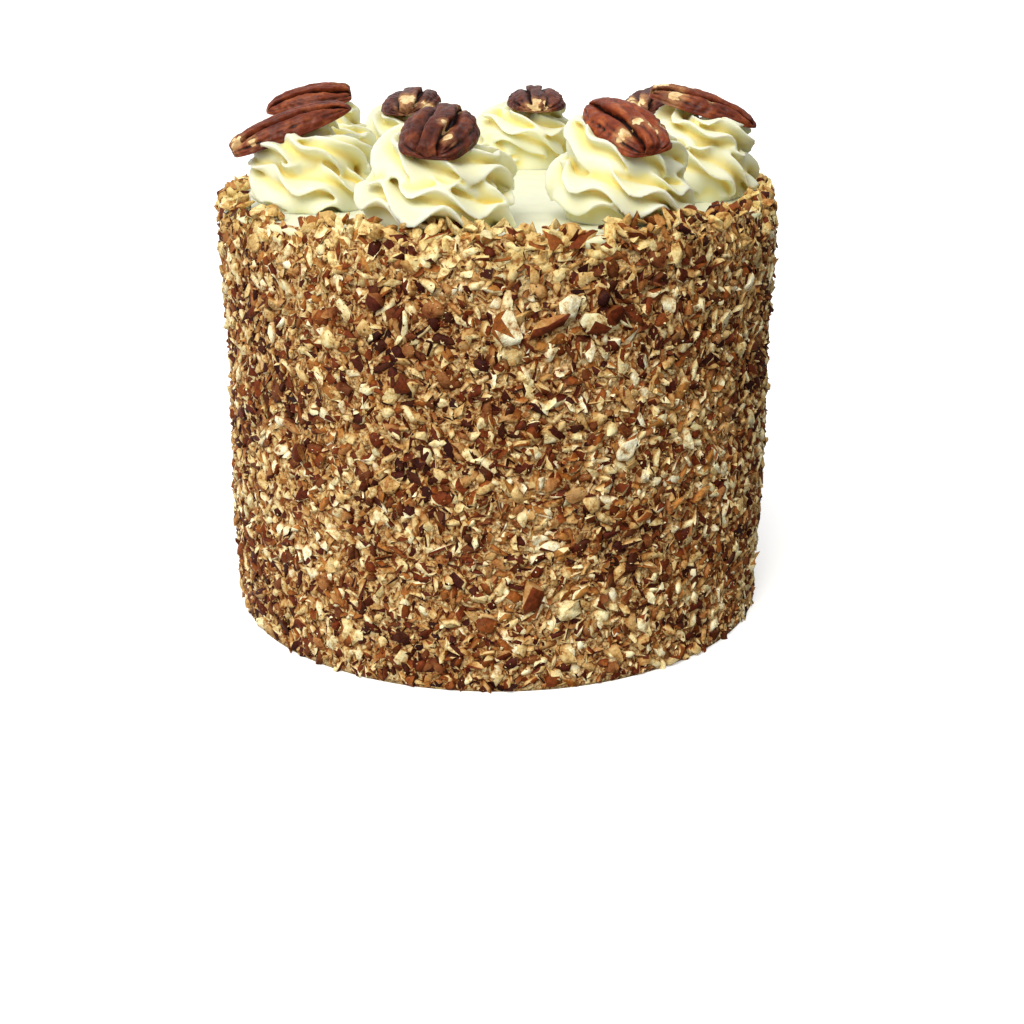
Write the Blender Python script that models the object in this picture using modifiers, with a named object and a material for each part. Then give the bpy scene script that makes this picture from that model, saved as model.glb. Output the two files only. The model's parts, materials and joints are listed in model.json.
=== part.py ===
"""A tall, uncut red velvet layer cake.

The side is coated with chopped pecans, the top is spread with cream cheese frosting, and a ring of
eight piped frosting swirls each carries a pecan half. It stands on its flat base, without a board.
Units are metres, +Z is up, the origin is the centre of the base and the front faces -Y.
"""

import math

import bmesh
import bpy
import numpy as np
from mathutils import Euler, Matrix, Vector

# ---------------------------------------------------------------- driving dimensions

CAKE_RADIUS = 0.0836  # mean outline of the nut coat, before its lumps
CAKE_HEIGHT = 0.1260  # base to the top of the frosting
SHOULDER = 0.0014  # how far the side draws in over its top few millimetres
FOOT = 0.0006  # how far nuts gather out from the side at its foot
FROSTED = 0.0804  # inside radius of the nut coat, round the frosting
FROSTING = 0.0042  # thickness of the frosting on top
GAP = 0.0003  # clearance between touching solids

COLUMNS = 90  # facets of the coat's relief, round the cake
ROWS = 21  # and from base to rim
RELIEF = 0.0012  # how far the coat's small bumps stand in or out
BULGE = 0.0006  # and its slow waves
SIDE_LUMPS = 24  # the largest chopped pieces, on the side
RIM_LUMPS = 62  # and standing up round the top edge
SEED = 7

SWIRL_RING = 0.0578  # radius of the ring that the swirls stand on
SWIRL_TEETH = 6  # points of the star nozzle
SWIRL_TURNS = 2.2
SWIRL_TWIST = 0.90  # turns of the star for each turn of the rope
SWIRL_SQUASH = 0.84  # the rope's height over its width
SWIRL_TRIANGLES = 360
SWIRL_VOXEL = 0.0007

PECAN_SEGMENTS = 16
PECAN_RINGS = 8

# Angle from the front towards +X in degrees, radius, height and the angle at which piping starts
SWIRLS = (
    (-15, 0.0230, 0.0270, 20),
    (35, 0.0214, 0.0290, 75),
    (80, 0.0214, 0.0270, 150),
    (126, 0.0204, 0.0260, 215),
    (171, 0.0197, 0.0255, 260),
    (210, 0.0184, 0.0250, 300),
    (248, 0.0185, 0.0260, 350),
    (294, 0.0202, 0.0260, 40),
)

# For the pecan on each swirl: length, width, thickness; yaw of its blunt end from +X, that end's
# dip and the roll of its back, in degrees; its centre's place from the swirl's axis and how far
# its underside lies below the swirl's tip
PECANS = (
    ((0.0300, 0.0200, 0.0088), (258, 17, -6), (0.0008, -0.0035), 0.0045),
    ((0.0305, 0.0190, 0.0085), (300, 20, 8), (0.0010, -0.0028), 0.0062),
    ((0.0330, 0.0150, 0.0076), (172, -16, -6), (0.0024, 0.0000), 0.0034),
    ((0.0300, 0.0175, 0.0078), (250, 6, 0), (0.0028, 0.0000), 0.0052),
    ((0.0310, 0.0190, 0.0070), (272, 6, 0), (0.0035, 0.0000), 0.0058),
    ((0.0300, 0.0190, 0.0078), (266, 6, 4), (0.0008, 0.0000), 0.0055),
    ((0.0275, 0.0150, 0.0078), (4, -10, 14), (-0.0045, 0.0010), 0.0032),
    ((0.0365, 0.0150, 0.0080), (194, 19, -8), (-0.0045, -0.0020), 0.0062),
)

# Name: base colour, roughness
FINISHES = {
    "chopped_pecan_coat": ((0.45, 0.24, 0.09), 0.75),
    "cream_cheese_frosting": ((0.86, 0.80, 0.55), 0.50),
    "pecan_skin": ((0.20, 0.06, 0.03), 0.42),
}


# ---------------------------------------------------------------- helpers


def collection(name):
    made = bpy.data.collections.new(name)
    bpy.context.scene.collection.children.link(made)
    return made


def finish(name):
    """The named material, made on first use."""
    if name in bpy.data.materials:
        return bpy.data.materials[name]
    colour, roughness = FINISHES[name]
    material = bpy.data.materials.new(name)
    material.use_nodes = True
    shader = material.node_tree.nodes["Principled BSDF"]
    shader.inputs["Base Color"].default_value = (*colour, 1.0)
    shader.inputs["Roughness"].default_value = roughness
    shader.inputs["Metallic"].default_value = 0.0
    return material


def new_object(name, data, into):
    made = bpy.data.objects.new(name, data)
    into.objects.link(made)
    return made


def mesh_of(bm, name):
    """The bmesh as a new mesh of triangles, with the bmesh freed."""
    bmesh.ops.triangulate(bm, faces=bm.faces)
    mesh = bpy.data.meshes.new(name)
    bm.to_mesh(mesh)
    bm.free()
    return mesh


def evaluated_mesh(obj):
    """A plain mesh of the object with its modifiers, in world space."""
    graph = bpy.context.evaluated_depsgraph_get()
    mesh = bpy.data.meshes.new_from_object(obj.evaluated_get(graph))
    mesh.transform(obj.matrix_world)
    return mesh


def largest_piece(mesh):
    """The mesh without the crumbs that a cut leaves loose."""
    bm = bmesh.new()
    bm.from_mesh(mesh)
    waiting = set(bm.verts)
    pieces = []
    while waiting:
        piece = set()
        edge = {waiting.pop()}
        while edge:
            piece |= edge
            edge = {e.other_vert(v) for v in edge for e in v.link_edges} - piece
        waiting -= piece
        pieces.append(piece)
    loose = set(bm.verts) - max(pieces, key=len)
    bmesh.ops.delete(bm, geom=list(loose), context="VERTS")
    return mesh_of(bm, mesh.name)


def replace_by(obj, mesh):
    """Swaps the object's data for a mesh that already holds its place and its modifiers."""
    obj.modifiers.clear()
    obj.matrix_world = Matrix.Identity(4)
    obj.data = mesh


def boolean(obj, operation, other):
    """Cuts the object by another, or joins it with a whole collection."""
    modifier = obj.modifiers.new("boolean", "BOOLEAN")
    modifier.operation = operation
    modifier.solver = "MANIFOLD"
    if isinstance(other, bpy.types.Collection):
        modifier.operand_type = "COLLECTION"
        modifier.collection = other
    else:
        modifier.object = other


def paint(obj, name):
    obj.data.materials.clear()
    obj.data.materials.append(finish(name))


def remove(objects):
    for obj in list(objects):
        bpy.data.objects.remove(obj)


def round_place(radius, angle_deg, height):
    """A point on a circle round the cake's axis. The angle runs from the front towards +X."""
    angle = math.radians(angle_deg)
    return Vector((radius * math.sin(angle), -radius * math.cos(angle), height))


# ---------------------------------------------------------------- the cake and its nut coat


def turned(name, profile, steps, into):
    """A closed turned body. The profile runs from the axis at the top to the axis at the base."""
    bm = bmesh.new()
    points = [bm.verts.new((radius, 0.0, height)) for radius, height in profile]
    for a, b in zip(points, points[1:], strict=False):
        bm.edges.new((a, b))
    obj = new_object(name, mesh_of(bm, name), into)
    screw = obj.modifiers.new("turn", "SCREW")
    screw.steps = screw.render_steps = steps
    screw.use_smooth_shade = False
    screw.use_merge_vertices = True
    screw.merge_threshold = 0.00005
    return obj


def side_radius(height):
    """The outline of the coat, drawn in at its shoulder and spread at its foot."""
    into_shoulder = max(0.0, height / CAKE_HEIGHT - 0.91) / 0.09
    into_foot = max(0.0, 1.0 - height / 0.005)
    return CAKE_RADIUS - SHOULDER * into_shoulder**2 + FOOT * into_foot


def coat_profile():
    """Top face, the side and the base."""
    top = CAKE_HEIGHT + 0.0006
    heights = [top * (1 - row / ROWS) for row in range(ROWS + 1)]
    return [(0.0, top), *((side_radius(height), height) for height in heights), (0.0, 0.0)]


def frosting_room_profile():
    """The room for the frosting, inside the lip of nuts that is left round it."""
    shelf = CAKE_HEIGHT - FROSTING - GAP
    return [(0.0, shelf + 0.02), (FROSTED, shelf + 0.02), (FROSTED, shelf), (0.0, shelf)]


def roughen(mesh, rng):
    """Bumps of the size of chopped nuts on the side and round the top edge."""
    phases = rng.uniform(0.0, math.tau, 4)
    for vertex in mesh.vertices:
        radius = math.hypot(vertex.co.x, vertex.co.y)
        height = vertex.co.z
        if radius < FROSTED or height < 0.0001:
            continue
        angle = math.atan2(vertex.co.y, vertex.co.x)
        outward = Vector((vertex.co.x, vertex.co.y, 0.0)) / radius
        along = Vector((-outward.y, outward.x, 0.0))
        wave = math.sin(3 * angle + phases[0] + 30 * height)
        wave += math.sin(5 * angle + phases[1] - 55 * height)
        wave += math.sin(2 * angle + phases[2] + 80 * height)
        push = BULGE * wave / 2 + rng.uniform(-RELIEF, RELIEF)
        slide = rng.uniform(-0.0012, 0.0012, 2)
        if height > CAKE_HEIGHT:
            vertex.co += outward * rng.uniform(-0.0004, 0.0008)
            vertex.co.z += rng.uniform(-0.0004, 0.0014)
        else:
            vertex.co += outward * push
            vertex.co.z += slide[1]
        vertex.co += along * slide[0]


def chopped_piece(rng, length, place, outward, into):
    """One angular chip of nut, half sunk in the coat, its thin side along the given direction."""
    bm = bmesh.new()
    bmesh.ops.create_cube(bm, size=1.0)
    shape = Vector((length, length * rng.uniform(0.50, 0.90), length * rng.uniform(0.45, 0.65)))
    for vertex in bm.verts:
        jitter = Vector(rng.uniform(-0.20, 0.20, 3))
        vertex.co = (vertex.co + jitter) * shape
    obj = new_object("chip", mesh_of(bm, "chip"), into)
    spin = Matrix.Rotation(rng.uniform(0.0, math.tau), 4, "Z")
    lean = Euler(rng.uniform(-0.35, 0.35, 3)).to_matrix().to_4x4()
    facing = outward.to_track_quat("Z", "Y").to_matrix().to_4x4()
    obj.matrix_world = Matrix.Translation(place) @ facing @ lean @ spin


def make_cake(parts, helpers):
    rng = np.random.default_rng(SEED)
    cake = turned("nut_coated_cake", coat_profile(), COLUMNS, parts)
    replace_by(cake, evaluated_mesh(cake))
    roughen(cake.data, rng)
    bm = bmesh.new()
    bm.from_mesh(cake.data)
    replace_by(cake, mesh_of(bm, cake.name))
    chips = collection("chips")
    golden = 360.0 * (math.sqrt(5.0) - 1.0) / 2.0
    low, high = 0.0090, CAKE_HEIGHT - 0.0110
    for i in range(SIDE_LUMPS):
        height = low + (high - low) * (i + 0.5) / SIDE_LUMPS
        place = round_place(side_radius(height), i * golden, height)
        outward = place - Vector((0.0, 0.0, height))
        chopped_piece(rng, rng.uniform(0.0055, 0.0085), place, outward, chips)
    for i in range(RIM_LUMPS):
        angle = 360.0 * (i + rng.uniform(-0.3, 0.3)) / RIM_LUMPS
        height = CAKE_HEIGHT - rng.uniform(0.0008, 0.0026)
        place = round_place(side_radius(height) - 0.0002, angle, height)
        outward = place - Vector((0.0, 0.0, height))
        chopped_piece(rng, rng.uniform(0.0046, 0.0074), place, outward, chips)
    boolean(cake, "UNION", chips)
    room = turned("frosting_room", frosting_room_profile(), COLUMNS, helpers)
    room.hide_render = True
    room.display_type = "WIRE"
    boolean(cake, "DIFFERENCE", room)
    replace_by(cake, evaluated_mesh(cake))
    remove(chips.objects)
    bpy.data.collections.remove(chips)
    paint(cake, "chopped_pecan_coat")


def make_top_frosting(parts):
    """The spread layer on top, inside the lip of nuts."""
    radius = FROSTED - GAP
    base = CAKE_HEIGHT - FROSTING
    profile = [
        (0.0, CAKE_HEIGHT),
        (radius - 0.0020, CAKE_HEIGHT),
        (radius - 0.0006, CAKE_HEIGHT - 0.0005),
        (radius, CAKE_HEIGHT - 0.0018),
        (radius, base),
        (0.0, base),
    ]
    frosting = turned("top_frosting", profile, 36, parts)
    replace_by(frosting, evaluated_mesh(frosting))
    paint(frosting, "cream_cheese_frosting")


# ---------------------------------------------------------------- piped swirls


def nozzle_outline(helpers):
    """The star that the nozzle gives the rope: thin ridges, leaning over broad valleys."""
    points = 10 * SWIRL_TEETH
    depth, lean = 0.50, -0.34
    curve = bpy.data.curves.new("nozzle", "CURVE")
    curve.dimensions = "2D"
    spline = curve.splines.new("POLY")
    spline.points.add(points - 1)
    spline.use_cyclic_u = True
    for i, point in enumerate(spline.points):
        angle = math.tau * i / points
        ridge = (0.5 + 0.5 * math.cos(SWIRL_TEETH * angle)) ** 1.8
        radius = 1.0 - depth * (1.0 - ridge)
        angle += lean * ridge
        point.co = (radius * math.cos(angle), radius * math.sin(angle), 0.0, 1.0)
    outline = new_object("nozzle", curve, helpers)
    outline.hide_render = True
    return outline


def piped_rope(name, radius, height, start_deg, nozzle, into):
    """The rope of frosting: a spiral that climbs and closes in, thinner and twisting as it goes."""
    thick = 0.43 * radius
    loop = radius - thick
    low, high = 0.40 * thick, height - 0.45 * thick
    curve = bpy.data.curves.new(name, "CURVE")
    curve.dimensions = "3D"
    curve.twist_mode = "Z_UP"
    curve.bevel_mode = "OBJECT"
    curve.bevel_object = nozzle
    curve.use_fill_caps = True
    spline = curve.splines.new("POLY")
    stations = round(30 * SWIRL_TURNS)
    spline.points.add(stations)
    for i, point in enumerate(spline.points):
        done = i / stations
        angle = math.radians(start_deg) - math.tau * SWIRL_TURNS * done
        reach = loop * (1.0 - 0.95 * done**3.2)
        climb = low + (high - low) * done
        start = min(1.0, 0.35 + done / 0.06)
        end = 1.0 - 0.85 * max(0.0, (done - 0.88) / 0.12) ** 1.5
        point.co = (reach * math.cos(angle), reach * math.sin(angle), climb / SWIRL_SQUASH, 1.0)
        point.radius = thick * (1.0 - 0.15 * done) * start * end
        point.tilt = math.tau * SWIRL_TWIST * SWIRL_TURNS * done
    rope = new_object(name, curve, into)
    rope.scale.z = SWIRL_SQUASH
    return rope


def press_mark(name, pecan, size, helpers):
    """The room that a pecan half takes, from just under it upwards."""
    length, width, _ = size
    bm = bmesh.new()
    depth = 0.03
    bmesh.ops.create_cone(
        bm, cap_ends=True, segments=24, radius1=0.5, radius2=0.5, depth=depth
    )
    for vertex in bm.verts:
        vertex.co.x *= 1.08 * length
        vertex.co.y *= 1.08 * width
        vertex.co.z += depth / 2 - 1.6 * GAP
    mark = new_object(name, mesh_of(bm, name), helpers)
    mark.matrix_world = pecan.matrix_world.copy()
    mark.hide_render = True
    mark.display_type = "WIRE"
    return mark


def floor_block(name, place, helpers):
    """All that lies under the top of the frosting, at one swirl."""
    bm = bmesh.new()
    bmesh.ops.create_cube(bm, size=0.06)
    block = new_object(name, mesh_of(bm, name), helpers)
    block.location = (place.x, place.y, CAKE_HEIGHT + GAP - 0.03)
    block.hide_render = True
    block.display_type = "WIRE"
    return block


def make_swirl(number, pecan, nozzle, parts, helpers):
    angle, radius, height, start = SWIRLS[number - 1]
    name = f"swirl_{number}"
    place = round_place(SWIRL_RING, angle, CAKE_HEIGHT + GAP)
    rope = piped_rope(name + "_rope", radius, height, start, nozzle, helpers)
    bpy.context.view_layer.update()
    bm = bmesh.new()
    bm.from_mesh(evaluated_mesh(rope))
    bmesh.ops.remove_doubles(bm, verts=bm.verts, dist=0.000001)
    bmesh.ops.recalc_face_normals(bm, faces=bm.faces)
    # The rope's loops close over a core, so that no hollow is left under them.
    core = bmesh.ops.create_uvsphere(bm, u_segments=20, v_segments=12, radius=1.0)
    for vertex in core["verts"]:
        vertex.co *= Vector((0.58 * radius, 0.58 * radius, 0.80 * height))
    swirl = new_object(name, mesh_of(bm, name), parts)
    bpy.data.objects.remove(rope)
    swirl.location = place
    remesh = swirl.modifiers.new("fuse", "REMESH")
    remesh.mode = "VOXEL"
    remesh.voxel_size = SWIRL_VOXEL
    bpy.context.view_layer.update()
    fused = evaluated_mesh(swirl)
    fused.calc_loop_triangles()
    share = SWIRL_TRIANGLES / len(fused.loop_triangles)
    replace_by(swirl, fused)
    decimate = swirl.modifiers.new("facets", "DECIMATE")
    decimate.ratio = share
    boolean(swirl, "DIFFERENCE", floor_block(name + "_floor", place, helpers))
    boolean(swirl, "DIFFERENCE", press_mark(name + "_mark", pecan, PECANS[number - 1][0], helpers))
    bpy.context.view_layer.update()
    replace_by(swirl, largest_piece(evaluated_mesh(swirl)))
    paint(swirl, "cream_cheese_frosting")


# ---------------------------------------------------------------- pecan halves


def kernel_mesh(name, size, rng):
    """Half a kernel along +X, its blunt end at +X: two deep grooves in a rounded back, a flat face."""
    length, width, thickness = size
    bm = bmesh.new()
    along_x = Matrix.Rotation(math.pi / 2, 4, "Y")
    bmesh.ops.create_uvsphere(
        bm, u_segments=PECAN_SEGMENTS, v_segments=PECAN_RINGS, radius=1.0, matrix=along_x
    )
    for vertex in bm.verts:
        along = vertex.co.x
        around = math.atan2(vertex.co.z, vertex.co.y)
        fullness = 2.7 if along > 0 else 2.0
        reach = math.sqrt(max(0.0, 1.0 - abs(along) ** fullness))
        if vertex.co.z > 0.02:
            from_ridge = abs(math.degrees(around) - 90.0)
            groove = math.exp(-(((from_ridge - 22.5) / 11.0) ** 2))
            middle = math.exp(-((from_ridge / 14.0) ** 2))
            reach *= 1.0 - 0.26 * groove - 0.13 * middle + rng.uniform(-0.035, 0.035)
        lift = math.sin(around)
        across = math.cos(around)
        if lift < 0:
            lift *= 0.14 * (1.0 - 0.7 * across**2)
        vertex.co.x = along * length / 2
        vertex.co.y = reach * across * width / 2
        vertex.co.z = reach * lift * thickness * 0.88
    lowest = min(vertex.co.z for vertex in bm.verts)
    bmesh.ops.translate(bm, verts=bm.verts, vec=(0.0, 0.0, -lowest))
    return mesh_of(bm, name)


def make_pecan(number, parts):
    size, turn, shift, sink = PECANS[number - 1]
    angle, _, height, _ = SWIRLS[number - 1]
    yaw, dip, roll = (math.radians(value) for value in turn)
    name = f"pecan_half_{number}"
    rng = np.random.default_rng(SEED + number)
    pecan = new_object(name, kernel_mesh(name, size, rng), parts)
    place = round_place(SWIRL_RING, angle, CAKE_HEIGHT + height - sink)
    place += Vector((*shift, 0.0))
    facing = Matrix.Rotation(yaw, 4, "Z") @ Matrix.Rotation(dip, 4, "Y") @ Matrix.Rotation(roll, 4, "X")
    pecan.matrix_world = Matrix.Translation(place) @ facing
    paint(pecan, "pecan_skin")
    return pecan


# ---------------------------------------------------------------- assembly


def main():
    remove(bpy.data.objects)
    parts = collection("red_velvet_cake")
    helpers = collection("helpers")
    make_cake(parts, helpers)
    make_top_frosting(parts)
    nozzle = nozzle_outline(helpers)
    for number in range(1, len(SWIRLS) + 1):
        pecan = make_pecan(number, parts)
        make_swirl(number, pecan, nozzle, parts, helpers)


main()
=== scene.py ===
"""How a tall pecan-coated layer cake looks: its chopped nut coat, cream cheese frosting, piped swirls
and pecan halves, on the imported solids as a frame.

Metres throughout, +Z up, the front faces -Y. Each piece's place is in its mesh.
"""

import json
import math

import bmesh
import bpy
import numpy as np
from mathutils import Matrix, Vector, noise

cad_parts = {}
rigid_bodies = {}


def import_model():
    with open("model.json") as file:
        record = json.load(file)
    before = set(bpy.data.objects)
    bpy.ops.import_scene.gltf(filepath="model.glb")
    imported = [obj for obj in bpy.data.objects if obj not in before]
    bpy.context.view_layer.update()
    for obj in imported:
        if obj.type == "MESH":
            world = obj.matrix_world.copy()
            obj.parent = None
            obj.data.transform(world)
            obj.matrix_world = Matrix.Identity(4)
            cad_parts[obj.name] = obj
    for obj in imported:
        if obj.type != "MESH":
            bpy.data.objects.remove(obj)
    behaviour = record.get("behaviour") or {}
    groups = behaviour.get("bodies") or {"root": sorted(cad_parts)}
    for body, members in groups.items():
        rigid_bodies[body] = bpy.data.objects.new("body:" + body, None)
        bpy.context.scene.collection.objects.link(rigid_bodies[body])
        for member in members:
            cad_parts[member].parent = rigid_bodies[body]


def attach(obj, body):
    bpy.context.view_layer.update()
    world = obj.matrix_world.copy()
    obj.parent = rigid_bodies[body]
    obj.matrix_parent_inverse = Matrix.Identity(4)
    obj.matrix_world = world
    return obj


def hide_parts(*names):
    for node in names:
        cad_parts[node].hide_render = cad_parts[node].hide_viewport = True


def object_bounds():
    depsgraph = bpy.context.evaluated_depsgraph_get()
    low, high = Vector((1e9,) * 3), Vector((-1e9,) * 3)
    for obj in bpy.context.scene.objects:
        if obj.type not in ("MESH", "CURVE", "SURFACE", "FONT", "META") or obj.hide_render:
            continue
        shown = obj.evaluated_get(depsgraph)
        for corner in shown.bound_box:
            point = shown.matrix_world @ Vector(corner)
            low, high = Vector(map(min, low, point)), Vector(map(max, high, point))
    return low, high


# ---------------------------------------------------------------- the frame, and the named sizes

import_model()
CAD_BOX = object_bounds()

CAKE_RADIUS = 0.0836  # the coat's mean outline
CAKE_HEIGHT = 0.1260  # without the swirls
SHOULDER = 0.0014  # how far the coat draws in at its top
FOOT = 0.0006  # how far it spreads at its base
BULGE = 0.0006  # height of its slow waves
FROSTED = 0.0804  # radius of the spread frosting
SHELF = 0.1215  # height at which that frosting begins
BARE_COAT = 0.0010  # how far the smear under the nuts lies inside the outline

SWIRL_RING = 0.0578  # radius of the ring on which the swirls stand
SWIRL_TEETH = 6
SWIRL_TURNS = 2.2
SWIRL_TWIST = 1.05  # turns of the rope about itself for one turn of the spiral
SWIRL_SQUASH = 0.84  # the rope's height as a share of its width
SWIRL_VOXEL = 0.00047

# Angle from the front towards +X in degrees, radius, height, angle at which piping starts
SWIRLS = (
    (-15, 0.0230, 0.0270, 20),
    (35, 0.0214, 0.0290, 75),
    (80, 0.0214, 0.0270, 150),
    (126, 0.0204, 0.0260, 215),
    (171, 0.0197, 0.0255, 260),
    (210, 0.0184, 0.0250, 300),
    (248, 0.0185, 0.0260, 350),
    (294, 0.0202, 0.0260, 40),
)

# Length, width, thickness; yaw of the blunt end from +X, its dip and the roll of its back in
# degrees; the centre's place from the swirl's axis and how far its underside lies below its tip
PECANS = (
    ((0.0300, 0.0200, 0.0088), (258, 17, -6), (0.0008, -0.0035), 0.0045),
    ((0.0305, 0.0190, 0.0085), (300, 20, 8), (0.0010, -0.0028), 0.0062),
    ((0.0330, 0.0150, 0.0076), (172, -16, -6), (0.0024, 0.0000), 0.0034),
    ((0.0300, 0.0175, 0.0078), (250, 6, 0), (0.0028, 0.0000), 0.0052),
    ((0.0310, 0.0190, 0.0070), (272, 6, 0), (0.0035, 0.0000), 0.0058),
    ((0.0300, 0.0190, 0.0078), (266, 6, 4), (0.0008, 0.0000), 0.0055),
    ((0.0275, 0.0150, 0.0078), (4, -10, 14), (-0.0045, 0.0010), 0.0032),
    ((0.0365, 0.0150, 0.0080), (194, 19, -8), (-0.0045, -0.0020), 0.0062),
)

# How light each half's skin is, and where its skin has chipped: along from -1 to 1 at the blunt
# end, across from -1 to 1, and the spot's radius
PECAN_CHIPS = (
    (0.30, ((-0.92, 0.0, 0.0020), (-0.62, 0.30, 0.0008), (0.30, 0.22, 0.0011), (0.62, 0.42, 0.0013))),
    (0.95, ((0.55, -0.55, 0.0017), (0.42, -0.05, 0.0014), (0.60, 0.30, 0.0012), (0.50, 0.80, 0.0013))),
    (0.60, ((0.80, -0.10, 0.0026), (0.50, 0.55, 0.0020), (0.30, -0.30, 0.0012), (-0.10, 0.50, 0.0008))),
    (0.15, ((0.85, -0.30, 0.0028), (0.55, -0.60, 0.0014))),
    (0.25, ((0.88, -0.12, 0.0020), (0.90, 0.25, 0.0009))),
    (0.20, ((0.72, 0.05, 0.0026), (0.80, 0.75, 0.0022))),
    (0.65, ((0.86, 0.55, 0.0026), (-0.50, 0.60, 0.0008))),
    (0.62, ((0.86, 0.20, 0.0017), (0.62, 0.66, 0.0009), (-0.70, -0.55, 0.0012))),
)

# The furrows down each side of a half: degrees from its crest, breadth in degrees, depth as a share
FURROWS = ((47, 4.0, 0.050), (63, 5.0, 0.075), (80, 4.0, 0.050))

CRISP_DEG = 62.0  # edges of a chip sharper than this stay crisp

# The studio: its white floor, which is lit from under, its wall, its soft light and the key light
ROOM_RADIUS = 14.0
WALL_HEIGHT = 10.0
FLOOR_GLOW = 0.28
ROOM_COLOUR = (0.970, 0.985, 1.000)
ROOM_LIGHT = (0.80, 0.10)  # strength in most directions, and where it is dimmest
DIMMING = (("X", -0.15, 0.55), ("Z", 0.60, 0.10))  # axis, where along it is bright, where is dimmest
KEY_FROM_DEG = (-24.0, 48.0)  # angle from the front towards +X, and above the floor
KEY_BREADTH_DEG = 42.0
KEY_STRENGTH = 2.95
KEY_COLOUR = (1.00, 0.95, 0.86)

CAMERA_AT = (0.0047, -0.4579, 0.1950)
CAMERA_DIP_DEG = 20.66
CAMERA_ROLL_DEG = 0.19
SENSOR_AND_LENS_MM = (36.0, 52.73)

# ---------------------------------------------------------------- small helpers


def object_of(name, mesh):
    made = bpy.data.objects.new(name, mesh)
    bpy.context.scene.collection.objects.link(made)
    return made


def mesh_of(name, points, faces):
    mesh = bpy.data.meshes.new(name)
    mesh.from_pydata([tuple(p) for p in points], [], [tuple(f) for f in faces])
    mesh.update()
    return mesh


def mesh_from(bm, name):
    """The bmesh as a new mesh; the bmesh is freed."""
    mesh = bpy.data.meshes.new(name)
    bm.to_mesh(mesh)
    bm.free()
    return mesh


def grid_faces(rows, columns):
    """Quads over a grid of points that closes on itself round each row."""
    faces = []
    for i in range(rows - 1):
        for j in range(columns):
            k = (j + 1) % columns
            near, far = i * columns, (i + 1) * columns
            faces.append((near + j, near + k, far + k, far + j))
    return faces


def sliced(bm, place, normal, slack):
    """Takes away what lies beyond the plane, and closes the cut."""
    bmesh.ops.bisect_plane(
        bm,
        geom=bm.verts[:] + bm.edges[:] + bm.faces[:],
        dist=slack,
        plane_co=place,
        plane_no=normal,
        clear_outer=True,
    )
    rim = [edge for edge in bm.edges if edge.is_boundary]
    bmesh.ops.holes_fill(bm, edges=rim, sides=0)


def points_of(mesh):
    flat = np.empty(len(mesh.vertices) * 3)
    mesh.vertices.foreach_get("co", flat)
    return flat.reshape(-1, 3)


def set_points(mesh, points):
    mesh.vertices.foreach_set("co", np.ascontiguousarray(points).ravel())
    mesh.update()


def normals_of(mesh):
    flat = np.empty(len(mesh.vertices) * 3)
    mesh.vertices.foreach_get("normal", flat)
    return flat.reshape(-1, 3)


def polar(points):
    """Angle round the cake's axis and distance from it, for each point."""
    return np.arctan2(points[:, 1], points[:, 0]), np.hypot(points[:, 0], points[:, 1])


def edges_of(mesh):
    flat = np.empty(len(mesh.edges) * 2, np.int64)
    mesh.edges.foreach_get("vertices", flat)
    return flat.reshape(-1, 2)


def smoothed(values, edges, rounds):
    """Each vertex's value pulled to its neighbours' mean, so many times."""
    values = np.array(values, float)
    ends = np.concatenate([edges, edges[:, ::-1]])
    order = np.argsort(ends[:, 0], kind="stable")
    ends = ends[order]
    count = np.bincount(ends[:, 0], minlength=len(values)).astype(float)
    count[count == 0] = 1
    starts = np.searchsorted(ends[:, 0], np.arange(len(values)))
    starts = np.minimum(starts, len(ends) - 1)
    for _ in range(rounds):
        total = np.add.reduceat(values[ends[:, 1]], starts, axis=0)
        mean = total / (count[:, None] if values.ndim > 1 else count)
        values = 0.5 * values + 0.5 * mean
    return values


def paint(mesh, name, values, domain="POINT"):
    """Stores one number for each vertex or face, for a material to read."""
    attribute = mesh.attributes.new(name, "FLOAT", domain)
    attribute.data.foreach_set("value", np.array(values, np.float32))


def paint_vectors(mesh, name, values):
    attribute = mesh.attributes.new(name, "FLOAT_VECTOR", "POINT")
    attribute.data.foreach_set("vector", np.array(values, np.float32).ravel())


def hollowness(mesh, reach):
    """How deep each vertex lies in a hollow, in metres. On a ridge it is below zero."""
    points = points_of(mesh)
    away = smoothed(points, edges_of(mesh), reach) - points
    return np.einsum("ij,ij->i", away, normals_of(mesh))


def applied(obj):
    """The object's modifiers made part of its mesh."""
    graph = bpy.context.evaluated_depsgraph_get()
    mesh = bpy.data.meshes.new_from_object(obj.evaluated_get(graph))
    obj.modifiers.clear()
    obj.data = mesh
    return mesh


def smooth_shaded(obj, crisp_deg=None):
    """Soft shading, with edges sharper than the given angle left crisp."""
    obj.data.polygons.foreach_set("use_smooth", [True] * len(obj.data.polygons))
    if crisp_deg:
        obj.data.set_sharp_from_angle(angle=math.radians(crisp_deg))


def finished(obj, material, slot, *nodes):
    """The piece is painted, rides on the cake and stands for the given solids."""
    obj.data.materials.clear()
    obj.data.materials.append(material)
    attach(obj, "root")
    if nodes:
        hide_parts(*nodes)


def round_place(radius, angle_deg, height):
    angle = math.radians(angle_deg)
    return Vector((radius * math.sin(angle), -radius * math.cos(angle), height))


def put(tree, socket, value):
    """Joins the socket to another one, or gives it a value."""
    if isinstance(value, bpy.types.NodeSocket):
        tree.links.new(value, socket)
    else:
        socket.default_value = value


def add_node(tree, kind, inputs=(), **settings):
    """A node with its settings made and its inputs joined, laid out in its turn."""
    turn = len(tree.nodes)
    made = tree.nodes.new(kind)
    made.location = (220 * turn, -80 * (turn % 4))
    for key, value in settings.items():
        setattr(made, key, value)
    for key, value in dict(inputs).items():
        put(tree, made.inputs[key], value)
    return made


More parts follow.
